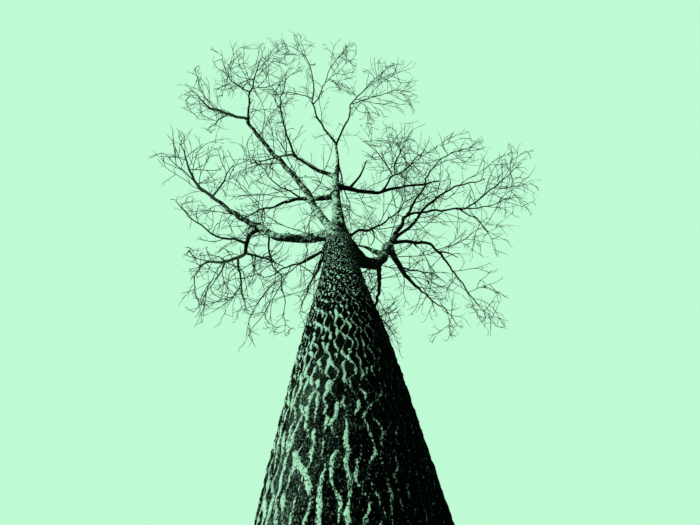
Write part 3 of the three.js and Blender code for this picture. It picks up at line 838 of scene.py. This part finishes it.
# Boughs of the right side
# The heaviest bough leaves the trunk below the fork and turns upwards. Most others on this side leave it or
# go on from its tip. One of them has lost its twigs and ends in a break.
grow_bough(
    "bough_right", "trunk", 9.9, (0.238, 0.112),
    [(0.15, 25, 45), (1.1, 45, 55), (1.1, 5, 75), (1.1, 320, 70)],
    spur=(2.35, (0.12, 0.024), [(0.33, 195, 55), (0.28, 215, 60), (0.36, 175, 55)]),
)
grow_bough("bough_right_up", "bough_right", None, (0.104, 0.066), [(0.6, 315, 62), (0.95, 325, 69)])
grow_bough(
    "bough_right_rising", "bough_right_up", None, (0.06, 0.036),
    [(1.15, 320, 51), (0.65, 295, 60), (0.5, 325, 60)],
)
grow_bough("bough_right_long", "bough_right_up", 1.48, (0.062, 0.044), [(1.15, 5, 45), (0.95, 0, 37)])
grow_bough("bough_right_down", "bough_right_long", 1.95, (0.038, 0.028), [(0.9, 25, 40)])
grow_bough(
    "bough_right_broken", "bough_right", 3.35, (0.072, 0.024),
    [(0.3, 340, 40), (1, 320, 37), (1.25, 335, 45), (1.15, 355, 38)],
    splintered=True,
)
grow_bough(
    "bough_right_out", "bough_right", 3.15, (0.08, 0.04), [(0.75, 5, 40), (1, 30, 47), (1.35, 55, 40)],
    spur=(1.85, (0.044, 0.018), [(0.35, 5, 40), (0.3, 30, 35)]),
)
grow_bough("bough_right_low", "bough_right", 2.8, (0.146, 0.038), [(1.35, 60, 50), (1.4, 50, 50)])
grow_bough("bough_right_low_side", "bough_right_low", 0.9, (0.044, 0.032), [(0.9, 25, 50)])
grow_bough("bough_far_right", "bough_right", 1.8, (0.1, 0.052), [(1.75, 85, 60), (1.2, 90, 60)])
grow_bough(
    "bough_inner_right", "trunk", 11.2, (0.058, 0.032),
    [(0.23, 15, 27), (0.43, 335, 64), (0.2, 30, 40), (0.28, 350, 65), (0.48, 345, 63), (0.55, 340, 58)],
    spur=(1.08, (0.032, 0.016), [(0.16, 60, 44), (0.12, 90, 0), (0.12, 120, 26)]),
)

# Boughs of the far side
# Five boughs behind the trunk, which balance the crown. They are dressed like the others.
grow_bough("bough_back", "trunk", 11.8, (0.138, 0.066), [(0.3, 95, 15), (1, 92, 50), (1.5, 88, 62)])
grow_bough("bough_back_left", "trunk", 12.5, (0.108, 0.054), [(0.3, 122, 20), (0.9, 114, 54), (1.2, 106, 60)])
grow_bough("bough_back_right", "trunk", 13.4, (0.096, 0.05), [(0.3, 68, 20), (0.9, 74, 54), (1.2, 82, 60)])
grow_bough("bough_back_high", "trunk", 15.5, (0.078, 0.044), [(0.25, 95, 25), (0.9, 90, 58), (0.9, 92, 62)])
grow_bough("bough_back_top", "trunk", 17.35, (0.056, 0.038), [(0.2, 75, 30), (0.8, 78, 60)])

# Stems and arms of the left side
# Where a bough has thinned out, its stem goes on from the tip and parts into arms, all of young wood. The
# masses divide the crown among them, because the twigs of each keep to the space round their own arms.
ARM_SHARE = 0.8
TIP_THICK = 0.01


def plan_twigs(on, stem, arms=(), name=None):
    """Stem and arms of the mass that goes on from a bough's tip, and is mostly named after it."""
    bough = limbs[on]
    name = name or "twigs_" + on.removeprefix("bough_")
    thick = 2 * float(bough.radius_at(bough.path.length))
    first = grow_limb(bough, None, (thick, TIP_THICK), stem)
    crowns[name] = [first]
    for at, legs in arms:
        arm_thick = (2 * ARM_SHARE * float(first.radius_at(at)), TIP_THICK)
        crowns[name].append(make_limb(make_path(walk(point_on(first.path, at), legs)), arm_thick))


crowns = {}
plan_twigs("bough_left", [(1.6, 212, 50), (1.7, 245, 50)])
plan_twigs(
    "bough_left_fork", [(0.4, 135, 50), (0.5, 160, 36), (0.85, 180, 45), (1.05, 130, 40)],
    [(0.06, [(0.65, 30, 50), (0.8, 45, 50)]), (0.42, [(1.45, 100, 50), (1.1, 100, 45)])],
)
plan_twigs("bough_left_side", [(1.3, 205, 50), (0.8, 220, 50)])
plan_twigs("bough_left_under", [(1.6, 90, 55), (2, 100, 45)])
plan_twigs("bough_upper_left", [(1.55, 200, 40), (1.6, 225, 45)])
plan_twigs(
    "bough_upper_left_end", [(0.65, 275, 60), (1.6, 280, 45)],
    [(0.06, [(0.75, 210, 35), (0.4, 220, 55), (1.55, 250, 45)])],
)
plan_twigs("bough_cross", [(0.55, 175, 45), (1.4, 155, 45)], [(0.5, [(0.65, 115, 50), (0.5, 85, 55)])])
plan_twigs("bough_cross_up", [(0.35, 210, 50), (1.2, 225, 55)])

# Stems and arms of the top
# The limbs that go on from the upper boughs and from the leader's fork, up to the highest tips of the tree.
plan_twigs(
    "bough_top_right", [(0.4, 350, 40), (0.65, 325, 55), (0.75, 310, 50), (0.85, 0, 45)],
    [(0.12, [(0.55, 275, 60), (1.1, 305, 55)]), (0.04, [(1.2, 242, 57), (1, 235, 56)])],
)
plan_twigs("bough_top_left", [(1.1, 175, 45), (1.2, 172, 42)])
plan_twigs(
    "bough_top_left_end", [(0.55, 290, 50), (0.55, 270, 45), (0.95, 322, 38)],
    [(0.06, [(1, 232, 45), (0.7, 250, 42)])],
)
plan_twigs(
    "leader_left", [(0.95, 275, 45), (1.5, 255, 40), (1.25, 215, 35)],
    [(0.3, [(0.9, 200, 40), (0.7, 180, 40)])],
)
plan_twigs(
    "leader_left_mid", [(1.15, 290, 45), (1.15, 310, 40)],
    [(0.12, [(0.7, 320, 45), (0.7, 310, 45)])], name="twigs_leader_mid",
)
plan_twigs("leader_right", [(1.15, 310, 40), (1.25, 320, 42)], [(0.1, [(1.4, 345, 27), (0.85, 325, 40)])])

# Stems and arms of the right side
# The limbs that go on from the right boughs, long and open, with clear sky between them.
plan_twigs("bough_right_rising", [(0.65, 315, 45), (1, 340, 45), (0.55, 0, 50)])
plan_twigs(
    "bough_right_long", [(0.95, 340, 35), (1.4, 332, 40), (0.95, 330, 45)],
    [(0.12, [(1.05, 0, 30), (0.9, 345, 45)])],
)
plan_twigs("bough_right_down", [(0.75, 46, 42), (0.75, 54, 38)])
plan_twigs("bough_right_out", [(1.4, 50, 40), (0.9, 55, 35)])
plan_twigs("bough_right_low", [(1.7, 45, 45), (0.95, 55, 35)])
plan_twigs("bough_right_low_side", [(0.75, 25, 50), (0.85, 50, 50)])
plan_twigs("bough_far_right", [(1.45, 90, 55), (1.5, 95, 55)], [(0.5, [(0.9, 55, 50), (0.8, 62, 45)])])
plan_twigs("bough_inner_right", [(1.25, 328, 58), (0.45, 0, 45)])

# Stems and arms of the far side
# The limbs that go on from the boughs behind the trunk.
plan_twigs("bough_back", [(1.5, 85, 52), (1.4, 96, 45)], [(0.2, [(0.9, 130, 48), (0.8, 120, 42)])])
plan_twigs("bough_back_left", [(1.3, 118, 50), (1.2, 110, 45)])
plan_twigs("bough_back_right", [(1.2, 68, 50), (1.2, 78, 45)])
plan_twigs("bough_back_high", [(1.2, 100, 50), (1.1, 112, 45)], [(0.25, [(0.8, 60, 50), (0.7, 70, 45)])])
plan_twigs("bough_back_top", [(1.3, 75, 55), (1.1, 88, 50)], [(0.3, [(0.8, 130, 50), (0.7, 140, 45)])])

# Main twigs
# They leave every arm in turn round it, wander, turn up towards the light and fork once. A twig that would
# touch a limb, or come nearer to another mass than to its own, doesn't grow.
TWIG_SHARE = 0.6
TWIG_LEAST = 0.013
TWIG_FIRST = 0.26
TWIG_EVERY = 0.52
TWIG_JITTER = 0.15
TWIG_LAST = 0.06
TWIG_TURN = 137.5
TURN_JITTER = 50
TWIG_SPREAD = (36, 64)
TWIG_REACH = (0.34, 0.62)
TWIG_LONGER = 0.8
TWIG_LONGEST = 1.25
TWIG_STEPS = 3
TWIG_WANDER = 0.36
TWIG_LIFT = 0.12
FORK_AT = 0.42
FORK_SHARE = 0.55
FORK_STEPS = 2
FORK_LEAST = 0.62
CLEARANCE = 0.014
SPACE_MARGIN = 0.045
FIRST_SEED = 101
SEED_STEP = 37
DICE = (1664525, 1013904223, 4294967296)


def dice(seed):
    """Seeded dice, so that every run grows the same tree."""
    state = seed

    def draw():
        nonlocal state
        state = (state * DICE[0] + DICE[1]) % DICE[2]
        return state / DICE[2]
    return draw


def from_line(a, b, starts, ends):
    """Shortest distance from one straight line to each straight piece."""
    u, v, w = b - a, ends - starts, a - starts
    uu, uv, vv, uw, vw = u.dot(u), v @ u, (v ** 2).sum(axis=-1), w @ u, (v * w).sum(axis=-1)
    wide = uu * vv - uv * uv
    s = np.where(wide > 0, np.clip((uv * vw - vv * uw) / np.where(wide > 0, wide, 1), 0, 1), 0)
    t = np.clip((uv * s + vw) / vv, 0, 1)
    s = np.clip((uv * t - uw) / uu, 0, 1)
    return np.linalg.norm(a + s[:, None] * u - starts - t[:, None] * v, axis=-1)


def nearest(points, name):
    """Distances from points to a mass's own arms, and to those of the other masses."""
    return [from_pieces(points, *crown[name][:2]) for crown in (own_crown, other_crowns)]


def has_room(points, radius, name):
    for start, end in zip(points[:-1], points[1:]):
        own, others = nearest(np.array([(start + end) / 2, end]), name)
        if (own + SPACE_MARGIN > others).any():
            return False
        for starts, ends, radii in (limb_pieces, other_crowns[name]):
            if (from_line(start, end, starts, ends) < radii + radius + CLEARANCE).any():
                return False
    return True


def wander(starts, along, roll, spread, length, bends, lift=TWIG_LIFT):
    """Lines of twigs that leave a limb sideways and bend back upwards; bends turn each step aside."""
    side = unit(np.cross((0, 0, 1), along))
    top = np.cross(along, side)
    out = side * np.cos(roll)[:, None] + top * np.sin(roll)[:, None]
    way = along * np.cos(spread)[:, None] + out * np.sin(spread)[:, None]
    points = [starts]
    for bend in bends:
        way = unit(way + bend * TWIG_WANDER)
        points.append(points[-1] + way * (length / len(bends))[:, None])
        way = unit(way + (0, 0, lift))
    return np.stack(points, axis=1)


def thrown_twig(path, at, roll, spread, length, steps, draw):
    """One twig on a path, whose bends come from the dice."""
    bends = np.array([[[draw() - 0.5, draw() - 0.5, draw() - 0.5]] for _ in range(steps)])
    sizes = [np.array([value]) for value in (roll, spread, length)]
    return wander(point_on(path, at)[None], direction_on(path, at)[None], *sizes, bends)[0]


def between(ends, share):
    return ends[0] + (ends[1] - ends[0]) * share


def main_twigs(name, seed):
    """Main twigs of one mass and their forks, each a line with its thickness at the foot."""
    draw = dice(seed)
    grown = []
    for arm in crowns[name]:
        path = arm.path
        for i in range(int((path.length - TWIG_FIRST) / TWIG_EVERY) + 1):
            at = min(path.length - TWIG_LAST, TWIG_FIRST + i * TWIG_EVERY + draw() * TWIG_JITTER)
            thick = max(TWIG_LEAST, 2 * TWIG_SHARE * float(arm.radius_at(at)))
            roll = radians(i * TWIG_TURN + TURN_JITTER * draw())
            spread = radians(between(TWIG_SPREAD, draw()))
            length = min(TWIG_LONGEST, between(TWIG_REACH, draw()) * (path.length - at + TWIG_LONGER))
            points = thrown_twig(path, at, roll, spread, length, TWIG_STEPS, draw)
            twig = path_through(points)
            fork = thrown_twig(
                twig, FORK_AT * twig.length, 2 * pi * draw(), radians(between(TWIG_SPREAD, draw())),
                FORK_SHARE * length, FORK_STEPS, draw,
            )
            if not has_room(points, thick / 2, name):
                continue
            grown.append((points, thick))
            if length > FORK_LEAST and has_room(fork, TWIG_LEAST / 2, name):
                grown.append((fork, TWIG_LEAST))
    return grown


all_limbs = [part for limb in limbs.values() for part in (limb, limb.spur) if part]
limb_pieces = pieces_of(all_limbs)
own_crown = {name: pieces_of(arms) for name, arms in crowns.items()}
other_crowns = {
    name: pieces_of([arm for other in crowns if other != name for arm in crowns[other]]) for name in crowns
}
twigs = {name: main_twigs(name, FIRST_SEED + SEED_STEP * index) for index, name in enumerate(crowns)}

# Finer twigs
# Side twigs grow on every arm and main twig, finer ones on those, and last the short shoots, by one rule with
# smaller sizes. All wood of a mass is joined into one piece in place of its solid, and keeps near its reach.
ARM_STEP = 0.1
ARM_SIDES = 8
LINE_STEP = 0.085
LINE_SIDES = 5
FINE_SIDES = 3
LEAST_LINE_STEPS = 3
FINE_JITTER = 0.9
FINE_SPREAD = (26, 58)
FINE_TAPER = 1.8
FINE_BEND = 0.62
FINE_CURL = 0.3
FINE_SHARES = (1, 0.6, 0.36)
FINE_LIFT = 0.035
FINE_LAST = 0.012
FREE_FROM = 2
FINE_CLEARANCE = 0.006
REACH_MARGIN = 0.06
BOX_MARGIN = 0.004
PALE_SHARE = 0.3
ASIDE = (0.29, 0.17, 0.94)
TWIG_ROUGHNESS = 0.8
TWIG_FLECKS = (60, 3, 0.6)
TWIG_FLECK_EDGE = (0.35, 0.65)
TWIG_BUMPS = (0.5, 0.002)
ARM_BARK, DARK_BARK, LIGHT_BARK = range(3)
TWIG_BARKS = [
    ("arm_bark", (0.004, 0.006, 0.005, 1), (0.06, 0.076, 0.065, 1)),
    ("twig_bark_dark", (0.003, 0.004, 0.0035, 1), (0.01, 0.013, 0.011, 1)),
    ("twig_bark_light", (0.006, 0.008, 0.007, 1), (0.03, 0.038, 0.033, 1)),
]

# Of each level: spacing, first place, reach, length added, longest, steps, and thickness at foot and tip
SHORT = (0.26, 0.08, (0.3, 0.7), 0.12, 0.22, 3, (0.008, 0.005))
LEVELS = [
    (0.33, 0.1, (0.45, 1), 0.7, 1.4, 9, (0.02, 0.011)),
    (0.3, 0.1, (0.35, 0.8), 0.35, 0.7, 6, (0.0135, 0.008)),
    SHORT,
]


def shells(points, thick, sides):
    """Closed tubes with pointed tips round many lines of as many points, as one cloud with its faces."""
    count, steps = points.shape[:2]
    foot, tip = thick
    way = unit(np.gradient(points, axis=1))
    across = unit(np.cross(ASIDE, way[:, 0]))
    angles = 2 * pi * np.arange(sides) / sides
    rings = []
    for step in range(steps - 1):
        across = unit(across - way[:, step] * (across * way[:, step]).sum(axis=-1, keepdims=True))
        third = np.cross(way[:, step], across)
        radius = (foot + (tip - foot) * (step / (steps - 1)) ** FINE_TAPER) / 2
        out = np.cos(angles)[:, None] * across[:, None] + np.sin(angles)[:, None] * third[:, None]
        rings.append(points[:, step, None] + radius * out)
    cloud = join(rings + [points[:, -1:]], axis=1)
    size = cloud.shape[1]
    index, beside, quads = tube_faces(steps - 1, sides)
    point = np.stack([index[-1], beside[-1], np.full(sides, size - 1)], axis=-1)
    base = np.array([(0, side + 1, side) for side in range(1, sides - 1)])
    offset = (np.arange(count) * size)[:, None, None]
    triangles = join([point, base])
    return cloud.reshape(-1, 3), (quads + offset).reshape(-1, 4), (triangles + offset).reshape(-1, 3)


def side_twigs(lines, level, draw):
    """Side twigs along some lines, before any of them is left out for want of room."""
    every, first, reach, longer, longest, steps, _ = level
    starts, ways, rolls, lengths = [], [], [], []
    for line in lines:
        path = path_through(line)
        last = path.length - FINE_LAST
        marks = np.arange(first, last, every)
        marks = np.minimum(last, marks + draw.uniform(0, FINE_JITTER, len(marks)) * every)
        turns = TWIG_TURN * np.arange(len(marks)) + TURN_JITTER * draw.uniform(-1, 1, len(marks))
        share = draw.uniform(*reach, len(marks))
        starts.append(point_on(path, marks))
        ways.append(direction_on(path, marks))
        rolls.append(np.radians(turns) + draw.uniform(0, 2 * pi))
        lengths.append(np.minimum(longest, share * (path.length - marks + longer)))
    starts, ways, rolls, lengths = (join(found) for found in (starts, ways, rolls, lengths))
    spreads = np.radians(draw.uniform(*FINE_SPREAD, len(starts)))
    curls = FINE_CURL * draw.uniform(-1, 1, (len(starts), 3))
    bends = FINE_BEND * draw.uniform(-1, 1, (steps, len(starts), 3)) + curls
    return wander(starts, ways, rolls, spreads, lengths, bends, FINE_LIFT)


def with_room(points, low, high, name=None):
    """The twigs, or shares of them, that stay in a box, clear of the limbs and near a mass's own arms."""
    kept = []
    for share in FINE_SHARES:
        grown = points[:, :1] + (points - points[:, :1]) * share
        halfway = (grown[:, FREE_FROM - 1:-1] + grown[:, FREE_FROM:]) / 2
        tests = join([grown[:, FREE_FROM:], halfway], axis=1)
        ends = tests.reshape(-1, 3)
        fits = (ends > low).all(axis=-1) & (ends < high).all(axis=-1)
        if name:
            own, others = nearest(ends, name)
            fits &= own < others
        fits &= from_pieces(ends, *line_pieces) > FINE_CLEARANCE
        fits = fits.reshape(tests.shape[:2]).all(axis=1)
        kept.append(grown[fits])
        points = points[~fits]
    return join(kept)


def plain_bark(name, dark, light):
    """Bark of young twigs: one tone with fine flecks and fine bumps."""
    material, shader = new_material(name, TWIG_ROUGHNESS, MATT)
    flecks = noise(places_on(shader), *TWIG_FLECKS)
    colour = blend_of(rise(flecks, *TWIG_FLECK_EDGE), dark, light)
    feed(shader, {"Base Color": colour, "Normal": bumps_of(flecks, *TWIG_BUMPS)})
    return material


def add_wood(name, shelled, nodes):
    """One piece from many shells, each with the number of its material."""
    cloud, faces, kinds = [], [], []
    total = 0
    for points, quads, triangles, kind in shelled:
        cloud.append(points)
        faces += [quads + total, triangles + total]
        kinds += [kind, kind]
        total += len(points)
    piece = add_mesh(name, join(cloud), faces, twig_materials, kinds)
    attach(piece, "root")
    if nodes:
        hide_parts(*nodes)


def dress(points, thick, draw):
    """Shells of side twigs, dealt out between the darker and the lighter bark."""
    light = draw.uniform(0, 1, len(points)) < PALE_SHARE
    dealt = ((~light, DARK_BARK), (light, LIGHT_BARK))
    return [(*shells(points[chosen], thick, FINE_SIDES), kind) for chosen, kind in dealt if chosen.any()]


def grow_levels(lines, levels, draw, *room):
    """Shells of side twigs on some lines, of finer ones on those, and so on."""
    shelled = []
    for level in levels:
        lines = with_room(side_twigs(lines, level, draw), *room)
        shelled += dress(lines, level[-1], draw)
    return shelled


def wood_line(points, step, thick, sides, kind):
    """Points of an arm or main twig once it winds, and its shell."""
    line = crooked_line(path_through(points), step, LEAST_LINE_STEPS).points
    return line, (*shells(line[None], thick, sides), kind)


twig_materials = [plain_bark(*bark) for bark in TWIG_BARKS]
line_pieces = pieces_of(all_limbs, winding=True)
box_low = np.array(cad_low) + BOX_MARGIN
box_high = np.array(cad_high) - BOX_MARGIN
for index, name in enumerate(crowns):
    draw = np.random.default_rng(FIRST_SEED + SEED_STEP * index)
    low, high = (np.array(corner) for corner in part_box(name))
    low = np.maximum(low - REACH_MARGIN, box_low)
    high = np.minimum(high + REACH_MARGIN, box_high)
    wood = []
    for arm in crowns[name]:
        wood.append(wood_line(arm.path.points, ARM_STEP, arm.thick, ARM_SIDES, ARM_BARK))
    for points, thick in twigs[name]:
        wood.append(wood_line(points, LINE_STEP, (thick, TIP_THICK), LINE_SIDES, DARK_BARK))
    lines, shelled = zip(*wood)
    finer = grow_levels(lines, LEVELS, draw, low, high, name)
    add_wood(name + "_wood", [*shelled, *finer], [name])

# Small twigs along the boughs
# Thin shoots and short stubs that the boughs have put out along their length, of young wood, with side twigs
# of their own. They grow by the same rule and are joined into one piece.
SHOOT_SEED = 5
STUB = (0.75, 0.5, (0.03, 0.12), 1.2, 0.22, 3, (0.03, 0.014))
SHOOT_LEVELS = [
    (0.44, 0.4, (0.2, 0.75), 1.4, 2, 10, (0.02, 0.0105)),
    (0.26, 0.12, (0.35, 0.8), 0.35, 0.7, 6, (0.013, 0.0075)),
    SHORT,
]
draw = np.random.default_rng(SHOOT_SEED)
lines = [limb.line.points for name, limb in limbs.items() if name != "trunk"]
shelled = grow_levels(lines, [STUB], draw, box_low, box_high)
shelled += grow_levels(lines, SHOOT_LEVELS, draw, box_low, box_high)
add_wood("shoots_on_boughs", shelled, [])
